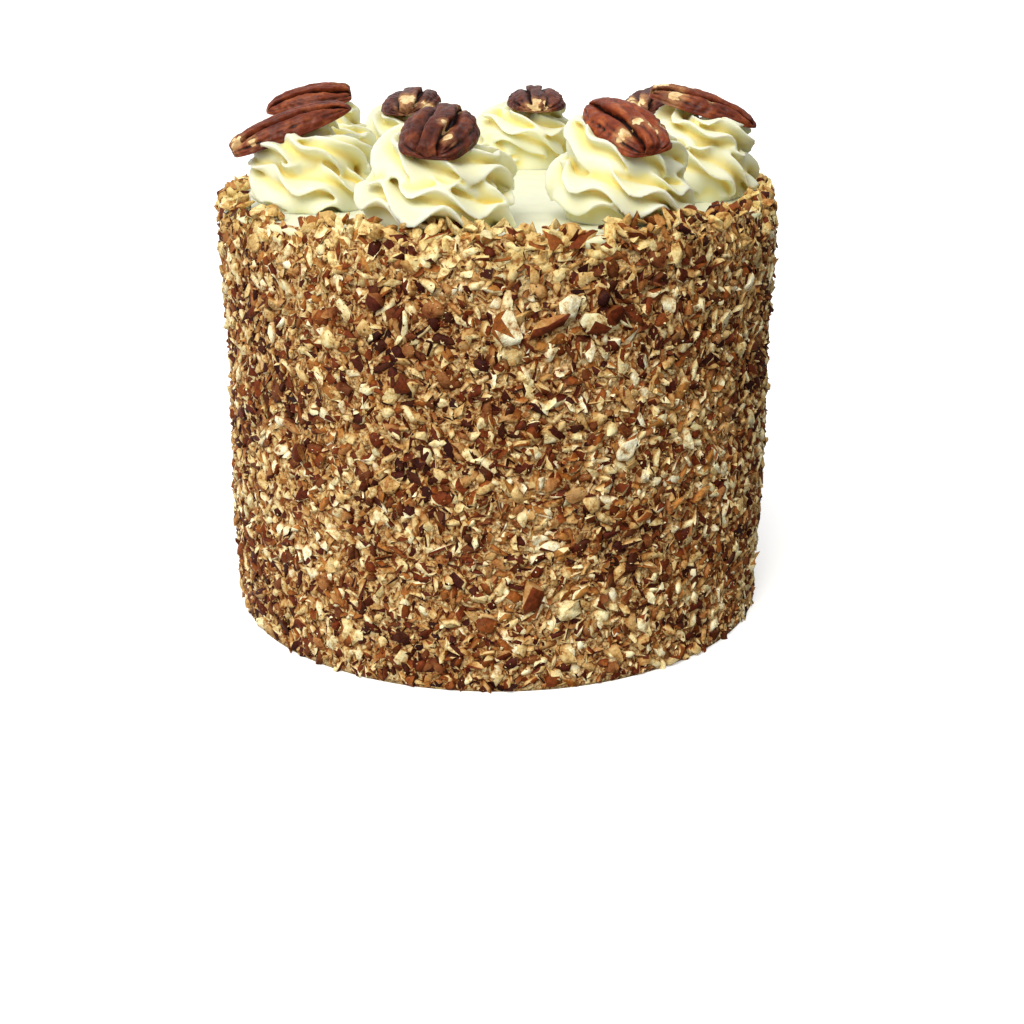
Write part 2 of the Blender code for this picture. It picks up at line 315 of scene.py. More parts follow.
def in_use(sockets, name=None):
    """The node's socket for its present kind of data, by name where it has more than one."""
    return next(s for s in sockets if s.enabled and name in (None, s.name))


# ---------------------------------------------------------------- materials

PLAIN = (1.0, 1.0, 1.0)


class Finish:
    """A material under construction."""

    def __init__(self, name):
        self.material = bpy.data.materials.new(name)
        self.material.use_nodes = True
        self.tree = self.material.node_tree
        self.shader = self.tree.nodes["Principled BSDF"]

    def node(self, kind, inputs=(), **settings):
        return add_node(self.tree, kind, inputs, **settings)

    def attribute(self, name, output="Fac"):
        return self.node("ShaderNodeAttribute", attribute_name=name).outputs[output]

    def place(self):
        return self.node("ShaderNodeTexCoord").outputs["Object"]

    def speckle(self, scale, detail=3.0, roughness=0.55, place=None, stretch=None):
        """Noise of the given scale, in features to the metre."""
        place = place or self.place()
        if stretch:
            place = self.node("ShaderNodeMapping", {"Vector": place, "Scale": stretch}).outputs[0]
        made = self.node(
            "ShaderNodeTexNoise",
            {"Vector": place, "Scale": scale, "Detail": detail, "Roughness": roughness},
        )
        return made.outputs["Fac"]

    def cells(self, scale, place=None, feature="F1"):
        made = self.node(
            "ShaderNodeTexVoronoi", {"Vector": place or self.place(), "Scale": scale}, feature=feature
        )
        return made.outputs["Distance"]

    def ramp(self, value, *stops):
        """Colours by value; each stop is a position and a colour or a grey."""
        made = self.node("ShaderNodeValToRGB", {"Fac": value})
        band = made.color_ramp
        while len(band.elements) < len(stops):
            band.elements.new(0.5)
        for element, (position, colour) in zip(band.elements, stops, strict=True):
            element.position = position
            if isinstance(colour, (int, float)):
                colour = (colour,) * 3
            element.color = (*colour, 1.0)
        return made.outputs["Color"]

    def mixed(self, share, a, b, blend="MIX"):
        made = self.node("ShaderNodeMix", data_type="RGBA", blend_type=blend)
        for name, value in (("Factor", share), ("A", a), ("B", b)):
            if isinstance(value, tuple):
                value = (*value, 1.0)
            put(self.tree, in_use(made.inputs, name), value)
        return in_use(made.outputs)

    def sum(self, a, b, operation="ADD"):
        return self.node("ShaderNodeMath", {0: a, 1: b}, operation=operation).outputs[0]

    def span(self, value, low, high, to_low=0.0, to_high=1.0):
        return self.node(
            "ShaderNodeMapRange",
            {
                "Value": value,
                "From Min": low,
                "From Max": high,
                "To Min": to_low,
                "To Max": to_high,
            },
        ).outputs[0]

    def relief(self, height, depth, strength=1.0):
        """The surface's fine bumps, with the depth of a full step in metres."""
        made = self.node("ShaderNodeBump", {"Height": height, "Distance": depth, "Strength": strength})
        self.set(Normal=made.outputs["Normal"])

    def set(self, **sockets):
        """Gives the shader's sockets their values, with _ for each space in their names."""
        for key, value in sockets.items():
            put(self.tree, self.shader.inputs[key.replace("_", " ")], value)


def frosting_finish():
    """Cream cheese frosting: pale and soft, with painted shade in its folds, warmer and yellower the
    deeper they go, for the light that sinks and bounces there.
    """
    f = Finish("cream_cheese_frosting")
    fold = f.attribute("fold")
    # Painted shade: the deeper a hollow, the warmer, yellower and darker the frosting's colour.
    depth = f.span(fold, -0.0010, 0.0008)
    cream_and_fold_shade = f.ramp(
        depth,
        (0.00, (0.765, 0.780, 0.615)),
        (0.33, (0.765, 0.765, 0.600)),
        (0.50, (0.795, 0.790, 0.580)),
        (0.60, (0.820, 0.760, 0.390)),
        (0.80, (0.860, 0.710, 0.220)),
        (1.00, (0.830, 0.600, 0.120)),
    )
    blush = f.speckle(110.0, 3.0)
    tone = f.ramp(blush, (0.35, (0.97, 0.975, 0.95)), (0.7, PLAIN))
    f.set(
        Base_Color=f.mixed(1.0, cream_and_fold_shade, tone, "MULTIPLY"),
        Roughness=f.span(f.speckle(420.0), 0.3, 0.7, 0.38, 0.52),
        Subsurface_Weight=0.35,
        Subsurface_Radius=(0.0060, 0.0042, 0.0016),
        Subsurface_Scale=1.0,
        Specular_IOR_Level=0.35,
    )
    fine = f.speckle(1400.0, 4.0)
    f.relief(fine, 0.00006, 0.6)
    return f.material


def coat_finish():
    """Frosting smeared under the nuts, full of nut dust and crumbs."""
    f = Finish("nut_meal")
    dust = f.speckle(800.0, 5.0, 0.7)
    crumbs = f.cells(900.0)
    meal = f.ramp(
        dust,
        (0.36, (0.090, 0.018, 0.006)),
        (0.44, (0.280, 0.105, 0.030)),
        (0.52, (0.580, 0.350, 0.130)),
        (0.66, (0.850, 0.690, 0.370)),
    )
    smear = f.span(f.speckle(95.0, 3.0), 0.56, 0.66)
    cream = f.ramp(
        dust,
        (0.36, (0.24, 0.10, 0.03)),
        (0.50, (0.64, 0.45, 0.20)),
        (0.66, (0.80, 0.66, 0.38)),
    )
    f.set(Base_Color=f.mixed(smear, meal, cream), Roughness=0.8, Specular_IOR_Level=0.05)
    f.relief(f.sum(dust, crumbs), 0.0008, 1.0)
    return f.material


def chopped_finish():
    """A chopped piece: pale flesh on its cut faces, brown skin on its outer side, and painted shade
    where it lies deep among the others.
    """
    f = Finish("chopped_pecan")
    patch = f.span(f.speckle(30.0, 2.0), 0.35, 0.65, -0.16, 0.16)
    height = f.node("ShaderNodeSeparateXYZ", {0: f.place()}).outputs["Z"]
    rim = f.span(height, CAKE_HEIGHT - 0.012, CAKE_HEIGHT - 0.002, 0.0, 0.6)
    golden = f.span(f.attribute("tone"), 0.0, 1.0, 0.34, 0.72)
    tone = f.sum(f.mixed(rim, f.attribute("tone"), golden), patch)
    other = f.sum(f.attribute("tone_b"), patch)
    flesh = f.ramp(
        tone,
        (0.00, (0.060, 0.014, 0.005)),
        (0.14, (0.180, 0.056, 0.017)),
        (0.25, (0.380, 0.170, 0.058)),
        (0.39, (0.600, 0.400, 0.165)),
        (0.62, (0.750, 0.620, 0.320)),
        (0.86, (0.850, 0.775, 0.490)),
        (1.00, (0.910, 0.860, 0.630)),
    )
    grain = f.speckle(420.0, 6.0, 0.72)
    browned = f.ramp(
        grain,
        (0.37, (0.40, 0.20, 0.10)),
        (0.46, (0.86, 0.74, 0.56)),
        (0.58, (1.12, 1.14, 1.14)),
    )
    flesh = f.mixed(1.0, flesh, browned, "MULTIPLY")
    flesh = f.mixed(1.0, flesh, f.mixed(rim, PLAIN, (1.02, 0.94, 0.72)), "MULTIPLY")
    skin = f.ramp(
        other,
        (0.00, (0.030, 0.005, 0.003)),
        (0.30, (0.085, 0.013, 0.004)),
        (0.60, (0.165, 0.032, 0.006)),
        (0.85, (0.280, 0.080, 0.014)),
        (1.00, (0.430, 0.180, 0.040)),
    )
    streak = f.ramp(f.speckle(900.0, 4.0, 0.6), (0.35, 0.6), (0.65, 1.3))
    skin = f.mixed(1.0, skin, streak, "MULTIPLY")
    kept = f.sum(f.attribute("skin"), f.sum(rim, 0.35, "MULTIPLY"), "SUBTRACT")
    skinned = f.sum(kept, f.span(grain, 0.3, 0.7, 0.45, -0.35))
    share = f.span(skinned, 0.30, 0.46)
    colour = f.mixed(share, flesh, skin)
    # Painted shade: chips lying deep among the others are darkened towards a dark brown, less so on the
    # rim.
    sunken = f.sum(f.attribute("sunk"), f.sum(rim, 0.5, "MULTIPLY"), "SUBTRACT")
    painted_recess_shade = f.ramp(sunken, (0.30, PLAIN), (0.62, (0.68, 0.47, 0.30)), (1.0, (0.32, 0.11, 0.05)))
    f.set(
        Base_Color=f.mixed(1.0, colour, painted_recess_shade, "MULTIPLY"),
        Roughness=f.span(f.speckle(1200.0), 0.3, 0.7, 0.34, 0.58),
        Specular_IOR_Level=0.10,
    )
    f.relief(f.sum(grain, f.speckle(1500.0, 3.0)), 0.00035, 0.9)
    return f.material


def pecan_finish():
    """Roasted pecan skin: red-brown ridges, grooves painted near-black as shade, pale flesh where it
    has chipped.
    """
    f = Finish("pecan_skin")
    grain_place = f.attribute("grain", "Vector")
    streaks = f.speckle(230.0, 6.0, 0.66, grain_place, (0.7, 1.2, 1.2))
    tone = f.attribute("tone")
    light = f.ramp(
        streaks,
        (0.32, (0.090, 0.013, 0.005)),
        (0.50, (0.215, 0.037, 0.010)),
        (0.68, (0.400, 0.102, 0.026)),
    )
    dark = f.ramp(
        streaks,
        (0.32, (0.014, 0.003, 0.002)),
        (0.51, (0.044, 0.008, 0.004)),
        (0.70, (0.150, 0.034, 0.012)),
    )
    skin = f.mixed(tone, dark, light)
    worn = f.ramp(streaks, (0.36, (0.160, 0.045, 0.016)), (0.62, (0.560, 0.290, 0.120)))
    skin = f.mixed(f.span(f.attribute("worn"), 0.1, 1.0, 0.0, 0.75), skin, worn)
    # Painted shade: the deeper the groove, the nearer its skin goes to near-black.
    groove = f.span(f.attribute("fold"), -0.00004, 0.00030)
    skin = f.mixed(groove, skin, (0.018, 0.006, 0.006))
    flesh = f.ramp(
        f.speckle(500.0, 4.0, 0.6, grain_place),
        (0.30, (0.50, 0.28, 0.10)),
        (0.60, (0.80, 0.62, 0.34)),
    )
    chipped = f.span(f.attribute("chip"), 0.45, 0.60)
    f.set(
        Base_Color=f.mixed(chipped, skin, flesh),
        Roughness=f.span(f.speckle(900.0, 4.0, 0.6, grain_place), 0.3, 0.7, 0.26, 0.46),
        Specular_IOR_Level=0.20,
    )
    wrinkle = f.speckle(520.0, 5.0, 0.6, grain_place, (1.0, 1.8, 1.8))
    f.relief(wrinkle, 0.00035, 0.8)
    return f.material


def floor_finish():
    """A matt white sweep, lit from under as a studio's table is."""
    f = Finish("pale_floor")
    mottle = f.speckle(3.0, 2.0)
    f.set(
        Base_Color=f.ramp(mottle, (0.3, 0.90), (0.7, 0.93)),
        Roughness=0.85,
        Specular_IOR_Level=0.1,
        Emission_Color=(*PLAIN, 1.0),
        Emission_Strength=FLOOR_GLOW,
    )
    return f.material


# ---------------------------------------------------------------- the cake under its coat


def side_radius(height):
    into_shoulder = np.maximum(0.0, height / CAKE_HEIGHT - 0.91) / 0.09
    into_foot = np.maximum(0.0, 1.0 - height / 0.005)
    return CAKE_RADIUS - SHOULDER * into_shoulder**2 + FOOT * into_foot


def bulges(angle, height):
    """The coat's slow waves round the cake and up its side."""
    phases = np.random.default_rng(7).uniform(0.0, math.tau, 4)
    wave = np.sin(3 * angle + phases[0] + 30 * height)
    wave = wave + np.sin(5 * angle + phases[1] - 55 * height)
    wave = wave + np.sin(2 * angle + phases[2] + 80 * height)
    return BULGE * wave / 2


def turned(name, profile, steps):
    """A closed turned body; the profile runs from the axis at the top to the axis at the base."""
    bm = bmesh.new()
    points = [bm.verts.new((radius, 0.0, height)) for radius, height in profile]
    for a, b in zip(points, points[1:], strict=False):
        bm.edges.new((a, b))
    obj = object_of(name, mesh_from(bm, name))
    screw = obj.modifiers.new("turn", "SCREW")
    screw.steps = screw.render_steps = steps
    screw.use_merge_vertices = True
    screw.merge_threshold = 0.00002
    applied(obj)
    return obj


def fractal(points, scale, depth=3):
    """Noise at each point, about -1 to 1."""
    return np.array([noise.fractal(Vector(p) * scale, 1.0, 2.0, depth) for p in points])


def make_coat():
    rows = 88
    top = CAKE_HEIGHT + 0.0002
    heights = np.linspace(top, 0.0, rows)
    profile = [(0.0, SHELF), (FROSTED, SHELF), (FROSTED, top - 0.0008), (FROSTED + 0.0006, top)]
    profile += [(float(side_radius(h)) - BARE_COAT, float(h)) for h in heights]
    profile += [(0.0, 0.0)]
    coat = turned("coat_under_nuts", profile, 420)
    mesh = coat.data
    points = points_of(mesh)
    angle, radius = polar(points)
    side = (radius > FROSTED + 0.0005) & (points[:, 2] > 0.0004)
    push = bulges(angle[side], points[side, 2]) + 0.0005 * fractal(points[side], 260.0)
    outward = points[side, :2] / radius[side, None]
    points[side, :2] += outward * push[:, None]
    set_points(mesh, points)
    smooth_shaded(coat)
    return coat


def make_frosting_top():
    """The spread layer: a spatula's faint turns, and an edge that runs out among the nuts."""
    edge = FROSTED - 0.0002
    profile = [(r, CAKE_HEIGHT) for r in np.linspace(0.0, edge - 0.0015, 46)]
    profile += [(edge - 0.0008, CAKE_HEIGHT - 0.0003), (edge, CAKE_HEIGHT - 0.0010)]
    profile += [(edge, SHELF + 0.0002), (0.0, SHELF + 0.0002)]
    top = turned("spread_frosting", profile, 240)
    points = points_of(top.data)
    upper = points[:, 2] > CAKE_HEIGHT - 0.0001
    angle, radius = polar(points)
    sweep = 0.00018 * np.sin(520 * radius + 2.0 * angle) * np.clip(radius / 0.03, 0, 1)
    points[upper, 2] += sweep[upper] - 0.0001 + 0.00025 * fractal(points[upper], 45.0)
    spill = np.clip(1.0 - drift(angle) / 0.22, 0.0, 1.0) * np.clip((radius - 0.0760) / 0.0040, 0.0, 1.0)
    spill *= points[:, 2] > CAKE_HEIGHT - 0.0012
    points[:, :2] *= (1.0 + 0.0026 * spill / np.maximum(radius, 0.01))[:, None]
    set_points(top.data, points)
    # The flat top takes the palest end of the frosting's painted fold shade, and its edge the yellower
    # middle of that ramp.
    paint(top.data, "fold", -0.0010 * np.clip((0.0790 - radius) / 0.0030, 0.0, 1.0))
    smooth_shaded(top)
    return top


# ---------------------------------------------------------------- pecan halves


def pecan_matrix(number):
    _, turn, shift, sink = PECANS[number]
    angle, _, height, _ = SWIRLS[number]
    yaw, dip, roll = (math.radians(v) for v in turn)
    place = round_place(SWIRL_RING, angle, CAKE_HEIGHT + height - sink) + Vector((*shift, 0.0))
    facing = Matrix.Rotation(yaw, 4, "Z") @ Matrix.Rotation(dip, 4, "Y") @ Matrix.Rotation(roll, 4, "X")
    return Matrix.Translation(place) @ facing


def make_pecan(number):
    """Half a kernel: a wrinkled, grooved back over a flat face, its lobes parted at the blunt end."""
    length, width, thickness = PECANS[number][0]
    rng = np.random.default_rng(70 + number)
    rows, columns = 150, 128
    around = np.arange(columns) * math.tau / columns
    along = -np.cos(np.pi * np.arange(1, rows) / rows)
    U, A = np.meshgrid(along, around, indexing="ij")
    fullness = np.where(U > 0, 2.35, 2.0)
    reach = np.sqrt(np.maximum(0.0, 1.0 - np.abs(U) ** fullness))
    p = rng.uniform(0.0, math.tau, 12)
    tilt = np.degrees(A) - 90.0
    crest = np.abs(tilt)
    weight = np.clip(np.sin(A) * 3.0, 0.0, 1.0)
    ends = np.clip((1.0 - np.abs(U)) / 0.14, 0.0, 1.0)
    blunt = np.clip((U - 0.30) / 0.55, 0.0, 1.0)
    groove = np.zeros_like(U)
    apart = np.degrees(np.arcsin(np.clip(0.42 / np.maximum(reach, 0.05) ** 0.7, 0.0, 0.97)))
    for k, way in enumerate((-1.0, 1.0)):
        wander = 4.0 * np.sin(2.7 * U + p[k]) + 2.5 * np.sin(6.3 * U + p[2 + k])
        line = way * tilt - apart - wander
        held = np.clip((76.0 - apart) / 30.0, 0.0, 1.0) * (0.30 + 0.70 * ends)
        groove += 0.50 * np.exp(-((line / (6.5 + 2.0 * blunt)) ** 2)) * held
        for place, wide, deep in FURROWS:
            line = way * tilt + 3.0 * np.sin(4.0 * U + p[4 + k] + place) - place
            fade = 0.35 + 0.65 * np.sin(5.0 * U + p[6 + k] + place) ** 2
            groove += deep * (1.0 + 1.8 * blunt) * np.exp(-((line / wide) ** 2)) * fade
    middle = (0.05 + 0.16 * blunt**2) * np.exp(-((tilt + 4.0 * np.sin(5.0 * U + p[8])) / 6.0) ** 2)
    steps = 30.0 * U + 2.6 * np.sin(4.1 * U + p[9]) + 0.03 * tilt + 1.2 * np.sin(0.09 * tilt + p[10])
    cross = 0.024 * np.sin(steps) * np.clip((crest - 28.0) / 40.0, 0.0, 1.0)
    outline = 0.035 * np.sin(5.2 * U + np.sign(tilt) + p[11]) * np.clip(crest / 90.0, 0.0, 1.0) ** 2
    reach = reach * (1.0 + outline - weight * (groove + middle - cross))
    lift = np.sin(A)
    side = np.cos(A)
    lift = np.where(lift < 0, lift * 0.14 * (1.0 - 0.7 * side**2), lift)
    tucked = 0.16 * np.clip((U - 0.72) / 0.28, 0.0, 1.0) ** 2
    cleft = 0.16 * np.clip((U - 0.50) / 0.40, 0.0, 1.0) ** 2 * weight * groove
    out = (U - tucked - cleft + 1.0) / 1.88 * 2.0 - 1.0
    kernel = np.stack([out * length, reach * side * width, reach * lift * thickness * 1.76], -1) / 2
    kernel = kernel.reshape(-1, 3)
    tips = np.array([[-length / 2, 0.0, 0.0], [0.95 * length / 2, 0.0, 0.0]])
    kernel = np.concatenate([kernel, tips])
    own = Vector((number * 3.1, 0, 0))
    lumps = np.array([noise.fractal(Vector(q) * 330.0 + own, 1.0, 2.0, 4) for q in kernel])
    ridge = fractal(kernel * (260.0, 620.0, 620.0) + (0.0, 0.0, number), 1.0)
    last = rows - 1
    faces = grid_faces(last, columns)
    first_tip, last_tip = last * columns, last * columns + 1
    for j in range(columns):
        k = (j + 1) % columns
        faces.append((first_tip, k, j))
        faces.append((last_tip, (last - 1) * columns + j, (last - 1) * columns + k))
    mesh = mesh_of(f"pecan_{number + 1}", kernel, faces)
    upper = np.clip(kernel[:, 2] / (0.25 * thickness), 0.0, 1.0)
    chip, worn = np.zeros((2, len(kernel)))
    for u, v, size in PECAN_CHIPS[number][1]:
        x = kernel[:, 0] - u * length / 2
        y = kernel[:, 1] - v * width / 2
        far = np.sqrt(x**2 + y**2) / size + 0.55 * fractal(kernel, 420.0 + 37.0 * number, 3)
        chip = np.maximum(chip, np.clip(0.5 + 2.0 * (1.0 - far), 0.0, 1.0))
        worn = np.maximum(worn, np.clip((2.3 - far) / 1.3, 0.0, 1.0))
    chip *= np.clip(upper + 0.4, 0, 1)
    rise = 0.00024 * lumps + 0.00022 * ridge - 0.00030 * np.clip((chip - 0.4) * 4, 0, 1)
    shift = normals_of(mesh) * rise[:, None]
    shift *= upper[:, None] * 0.9 + 0.1
    kernel = kernel + shift
    kernel[:, 2] -= kernel[:, 2].min()
    kernel[:, 2] *= 0.81 * thickness / kernel[:, 2].max()
    set_points(mesh, kernel)
    # The grooves' own lines deepen the fold value, and so the painted shade in them.
    crease = 0.0006 * np.concatenate([(weight * groove).ravel(), [0.0, 0.3]])
    paint(mesh, "fold", np.clip(hollowness(mesh, 14) + crease, -0.001, 0.002))
    paint(mesh, "chip", chip)
    paint(mesh, "worn", worn)
    paint(mesh, "tone", np.full(len(kernel), PECAN_CHIPS[number][0]))
    paint_vectors(mesh, "grain", kernel + number * 0.1)
    mesh.transform(pecan_matrix(number))
    obj = object_of(mesh.name, mesh)
    smooth_shaded(obj)
    return obj


# ---------------------------------------------------------------- piped swirls


def rope_surface(number):
    """The rope of frosting: a star-shaped rope on a spiral that climbs and closes in."""
    _, radius, height, start_deg = SWIRLS[number]
    rng = np.random.default_rng(300 + number)
    p = rng.uniform(0.0, math.tau, 5)
    thick = 0.43 * radius
    loop = radius - thick
    low, high = 0.40 * thick, height - 0.45 * thick
    stations, ring = round(150 * SWIRL_TURNS), 168
    done = np.linspace(0.0, 1.0, stations)
    turn = math.tau * SWIRL_TURNS * done
    angle = math.radians(start_deg) - turn
    reach = loop * (1.0 - 0.95 * done**3.2) + 0.0008 * np.sin(1.7 * turn + p[0])
    climb = low + (high - low) * done + 0.0005 * np.sin(2.3 * turn + p[1]) * np.minimum(1, done * 8)
    start = np.minimum(1.0, 0.35 + done / 0.06)
    end = 1.0 - 0.85 * np.maximum(0.0, (done - 0.88) / 0.12) ** 1.5
    wide = thick * (1.0 - 0.15 * done) * start * end
    phi = np.arange(ring) * math.tau / ring
    T, P = np.meshgrid(turn, phi, indexing="ij")
    twist = SWIRL_TWIST * T + 0.22 * np.sin(1.9 * T + p[2]) + 0.12 * np.sin(4.3 * T + p[3])
    spread = SWIRL_TEETH * (P - twist)
    tooth = np.floor((P - twist) / (math.tau / SWIRL_TEETH) + 0.5) % SWIRL_TEETH
    own = p[4] + 2.4 * tooth
    ridge = (0.5 + 0.5 * np.cos(spread)) ** 1.7
    tall = 1.0 + 0.10 * np.sin(2.6 * T + own) + 0.06 * np.sin(6.1 * T + 1.7 * own)
    rho = 0.46 + 0.55 * ridge * tall
    lower = np.clip(1.0 - T / (1.1 * math.tau), 0.0, 1.0)
    ruffle = 0.26 + 0.26 * lower
    lean = -0.30 + 0.34 * np.sin(3.3 * T + own) + ruffle * np.sin(7.1 * T + 2.3 * own)
    A = P + lean * ridge
    wide = wide[:, None]
    across = reach[:, None] + wide * rho * np.cos(A)
    up = climb[:, None] + wide * SWIRL_SQUASH * rho * np.sin(A)
    X = across * np.cos(angle)[:, None]
    Y = across * np.sin(angle)[:, None]
    flare = 1.0 + 0.11 * np.clip(1.0 - up / 0.0060, 0.0, 1.0) ** 1.5
    grid = np.stack([X * flare, Y * flare, up], -1)
    faces = grid_faces(stations, ring)
    faces.append(tuple(range(ring)))
    faces.append(tuple(stations * ring - 1 - j for j in range(ring)))
    return grid.reshape(-1, 3), faces


def press(points, number):
    """The swirl's top gives way under its pecan and rises a little round it."""
    length, width, _ = PECANS[number][0]
    matrix = pecan_matrix(number)
    local = (points - np.array(matrix.translation)) @ np.array(matrix.to_3x3())
    x, y, z = local.T
    e = np.sqrt((2 * x / length) ** 2 + (2 * y / width) ** 2)
    limit = np.where(e < 0.93, 0.0003, 0.0003 + (e - 0.93) * width * 0.5 * 2.2)
    local[:, 2] = np.where((z > limit) & (e < 1.7), limit, z)
    return local @ np.array(matrix.to_3x3()).T + np.array(matrix.translation)


def make_swirl(number):
    angle, radius, height, _ = SWIRLS[number]
    name = f"piped_swirl_{number + 1}"
    points, faces = rope_surface(number)
    mesh = mesh_of(name, points, faces)
    bm = bmesh.new()
    bm.from_mesh(mesh)
    bmesh.ops.recalc_face_normals(bm, faces=bm.faces)
    core = bmesh.ops.create_uvsphere(bm, u_segments=48, v_segments=28, radius=1.0)
    for vertex in core["verts"]:
        vertex.co *= Vector((0.66 * radius, 0.66 * radius, 0.82 * height))
    bm.to_mesh(mesh)
    bm.free()
    swirl = object_of(name, mesh)
    remesh = swirl.modifiers.new("fuse", "REMESH")
    remesh.mode = "VOXEL"
    remesh.voxel_size = SWIRL_VOXEL
    mesh = applied(swirl)
    bm = bmesh.new()
    bm.from_mesh(mesh)
    sliced(bm, (0, 0, 0), (0, 0, -1), 1e-6)
    bm.to_mesh(mesh)
    bm.free()
    points = points_of(mesh)
    flat = points[:, 2] < 1e-5
    soft = smoothed(points, edges_of(mesh), 9)
    soft[flat] = points[flat]
    place = round_place(SWIRL_RING, angle, CAKE_HEIGHT - 0.0001)
    soft = soft + np.array(place)
    out = polar(soft)[1] - (FROSTED - 0.0012)
    near = np.clip(1.5 - (soft[:, 2] - CAKE_HEIGHT) / 0.008, 0.0, 1.0)
    soft[:, 2] -= 0.55 * np.clip(out, 0.0, 0.004) * near
    soft = press(soft, number)
    set_points(mesh, soft)
    smooth_shaded(swirl)
    # How deep each point lies in a hollow, which sets the frosting's painted shade in its folds.
    paint(mesh, "fold", np.maximum(hollowness(mesh, 30), -0.0004))
    return swirl


# ---------------------------------------------------------------- chopped nuts


def chopped_fragment(name, rng, shape, corners, cuts, skin_side):
    """A chip of unit length: a rounded morsel with flat knife cuts, skin left on its given side."""
    bm = bmesh.new()
    spread = rng.normal(size=(corners, 3))
    spread /= np.linalg.norm(spread, axis=1)[:, None]
    spread *= rng.uniform(0.86, 1.0, corners)[:, None]
    for point in spread:
        bm.verts.new(Vector(point))
    hull = bmesh.ops.convex_hull(bm, input=bm.verts)
    bmesh.ops.delete(bm, geom=hull["geom_interior"], context="VERTS")
    skin = Vector(skin_side).normalized() if skin_side else None
    for _ in range(cuts):
        normal = Vector(rng.normal(size=3)).normalized()
        if skin and normal.dot(skin) > 0.5:
            normal = -normal
        normal.normalize()
        support = max(vertex.co.dot(normal) for vertex in bm.verts)
        sliced(bm, normal * support * rng.uniform(0.30, 0.72), normal, 1e-5)
    bmesh.ops.remove_doubles(bm, verts=bm.verts, dist=0.16)
    bmesh.ops.recalc_face_normals(bm, faces=bm.faces)
    skinned = [bool(skin) and face.normal.dot(skin) > 0.55 for face in bm.faces]
    low = Vector(min(vertex.co[i] for vertex in bm.verts) for i in range(3))
    high = Vector(max(vertex.co[i] for vertex in bm.verts) for i in range(3))
    bow = rng.uniform(-0.5, 0.5)
    for vertex in bm.verts:
        unit = Vector((vertex.co[i] - (low[i] + high[i]) / 2) / (high[i] - low[i]) for i in range(3))
        unit.z += bow * (unit.x**2 - 0.1)
        vertex.co = unit * Vector(shape)
    mesh = mesh_from(bm, name)
    paint(mesh, "skin", skinned, "FACE")
    chip = bpy.data.objects.new(name, mesh)
    smooth_shaded(chip, CRISP_DEG)
    return chip


# Length, width and thickness of a chip, the side that keeps its skin, how many in each twenty
CHIP_KINDS = (
    ((1.00, 0.72, 0.44), None, 3),
    ((1.05, 0.60, 0.38), (0.1, 0.2, 1.0), 3),
    ((1.15, 0.52, 0.44), (0.1, 1.0, 0.35), 5),
    ((1.36, 0.42, 0.34), (0.0, 0.5, 0.8), 3),
    ((1.30, 0.52, 0.34), None, 3),
    ((1.10, 0.62, 0.36), (0.9, 0.2, 0.4), 2),
    ((0.95, 0.84, 0.52), (-0.5, 0.6, 0.4), 1),
)


def fragments(kind, rng, corners, cuts):
    """Twenty different chips for one size of nut, in a collection of their own."""
    group = bpy.data.collections.new(kind)
    for shape, skin_side, count in CHIP_KINDS:
        for _ in range(count):
            name = f"{kind}_{len(group.objects):02d}"
            group.objects.link(chopped_fragment(name, rng, shape, corners, cuts, skin_side))
    return group


